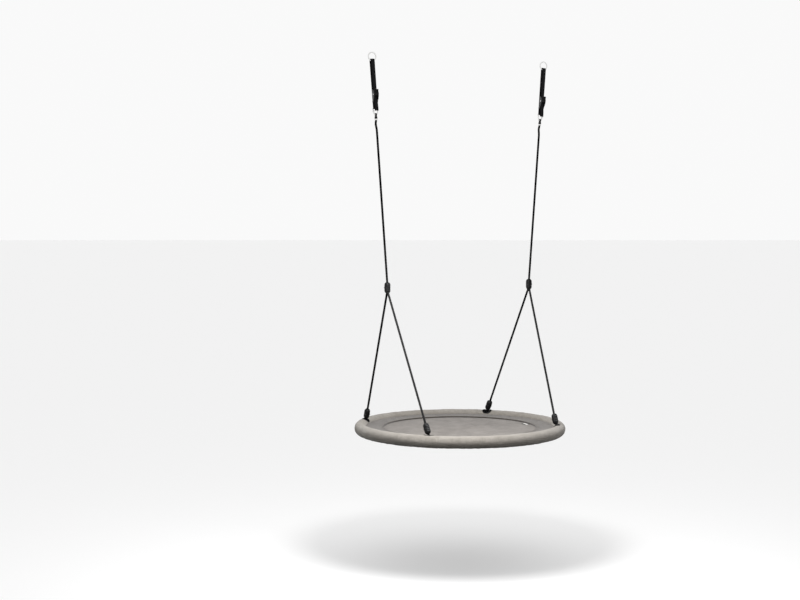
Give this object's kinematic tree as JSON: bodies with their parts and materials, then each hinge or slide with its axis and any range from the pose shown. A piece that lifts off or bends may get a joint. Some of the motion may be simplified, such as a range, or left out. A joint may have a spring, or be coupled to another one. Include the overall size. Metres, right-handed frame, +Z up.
{
  "type": "nest swing",
  "caption": "Round saucer nest swing: padded fabric ring seat on four rope legs, two ropes and webbing loops with cam buckles and steel rings.",
  "frame": {"origin": "under the middle of the seat, level with the underside of the padded rim", "axes": "+Z up, +X along the line between the two hanging rings, +Y towards the back; the buckles face -Y"},
  "size_m": [0.9999, 1, 1.7769],
  "materials": {
    "zinc_steel": "satin",
    "webbing": "matte",
    "buckle_steel": "satin",
    "buckle_plastic": "satin",
    "spring_steel": "satin",
    "black_plastic": "satin",
    "rope": "matte",
    "screw_steel": "satin",
    "rim_steel": "satin",
    "foam": "matte",
    "cover_fabric": "matte",
    "binding_fabric": "matte",
    "panel_fabric": "matte",
    "black_tape": "matte",
    "zip_plastic": "satin",
    "label_fabric": "matte"
  },
  "bodies": {
    "hanging_rings": {"hang_ring_left": "zinc_steel", "hang_ring_right": "zinc_steel"},
    "straps": {"strap_left": "webbing", "strap_right": "webbing"},
    "buckles": {"buckle_frame_left": "buckle_steel", "buckle_frame_right": "buckle_steel", "cam_pin_left": "zinc_steel", "cam_pin_right": "zinc_steel", "link_left": "zinc_steel", "link_right": "zinc_steel"},
    "cam_left": {"cam_lever_left": "buckle_plastic", "cam_spring_left": "spring_steel"},
    "cam_right": {"cam_lever_right": "buckle_plastic", "cam_spring_right": "spring_steel"},
    "sleeve_left": {"link_sleeve_left": "zinc_steel"},
    "sleeve_right": {"link_sleeve_right": "zinc_steel"},
    "rope_left": {"rope_end_left": "black_plastic", "rope_collar_left": "zinc_steel", "main_rope_left": "rope"},
    "rope_right": {"rope_end_right": "black_plastic", "rope_collar_right": "zinc_steel", "main_rope_right": "rope"},
    "junctions": {"junction_ribbed_left": "black_plastic", "junction_ribbed_right": "black_plastic", "junction_plain_left": "black_plastic", "junction_plain_right": "black_plastic", "junction_screws": "screw_steel", "rope_splice_left": "rope", "rope_splice_right": "rope"},
    "seat": {"leg_rope_front_left": "rope", "leg_rope_front_right": "rope", "leg_rope_back_left": "rope", "leg_rope_back_right": "rope", "coupling_ribbed_front_left": "black_plastic", "coupling_ribbed_front_right": "black_plastic", "coupling_ribbed_back_left": "black_plastic", "coupling_ribbed_back_right": "black_plastic", "coupling_plain_front_left": "black_plastic", "coupling_plain_front_right": "black_plastic", "coupling_plain_back_left": "black_plastic", "coupling_plain_back_right": "black_plastic", "coupling_screws": "screw_steel", "rim_tube_front": "rim_steel", "rim_tube_back": "rim_steel", "tube_sleeve_left": "rim_steel", "tube_sleeve_right": "rim_steel", "sleeve_screws": "screw_steel", "foam_front": "foam", "foam_back": "foam", "foam_left": "foam", "foam_right": "foam", "rim_cover": "cover_fabric", "cover_band": "cover_fabric", "under_band": "cover_fabric", "seam_binding": "binding_fabric", "seat_panel": "panel_fabric", "opening_trims": "black_tape", "cover_zip": "zip_plastic", "seat_label": "label_fabric"}
  },
  "joints": [
    {"name": "swing", "type": "hinge", "parent": "hanging_rings", "child": "straps", "pos_m": [0, 0, 1.7379], "axis": [1, 0, 0], "range_deg": [-45, 45]},
    {"name": "height_adjust", "type": "slide", "parent": "straps", "child": "buckles", "axis": [0, 0, 1], "range_m": [0, 0.08], "deforming": ["strap_left", "strap_right"]},
    {"name": "cam_release_left", "type": "hinge", "parent": "buckles", "child": "cam_left", "pos_m": [-0.45329, -0.0144, 1.58435], "axis": [0.9971, 0, 0.0761], "range_deg": [-30, 0], "stiffness_Nm_per_rad": 0.3, "springref_deg": 5.73},
    {"name": "cam_release_right", "type": "hinge", "parent": "buckles", "child": "cam_right", "pos_m": [0.45329, -0.0144, 1.58435], "axis": [0.9971, 0, -0.0761], "range_deg": [-30, 0], "stiffness_Nm_per_rad": 0.3, "springref_deg": 5.73},
    {"name": "link_sleeve_left_travel", "type": "slide", "parent": "buckles", "child": "sleeve_left", "axis": [-0.2817, 0, 0.9595], "range_m": [0, 0.005]},
    {"name": "link_sleeve_right_travel", "type": "slide", "parent": "buckles", "child": "sleeve_right", "axis": [0.2817, 0, 0.9595], "range_m": [0, 0.005]},
    {"name": "sway_left", "type": "hinge", "parent": "buckles", "child": "rope_left", "pos_m": [-0.44629, 0, 1.49261], "axis": [0, 1, 0], "range_deg": [-8, 8]},
    {"name": "sway_right", "type": "hinge", "parent": "buckles", "child": "rope_right", "pos_m": [0.44629, 0, 1.49261], "axis": [0, 1, 0], "range_deg": [-8, 8]},
    {"name": "junction_level", "type": "hinge", "parent": "rope_left", "child": "junctions", "pos_m": [-0.387, 0, 0.7155], "axis": [0, 1, 0], "range_deg": [-9.5, 9.5]},
    {"name": "seat_tilt", "type": "hinge", "parent": "junctions", "child": "seat", "pos_m": [0, 0, 0.6895], "axis": [1, 0, 0], "range_deg": [-20, 20]}
  ],
  "couplings": [
    {"joint": "sway_right", "follows": "sway_left", "ratio": 1},
    {"joint": "junction_level", "follows": "sway_left", "ratio": -1.1532}
  ]
}
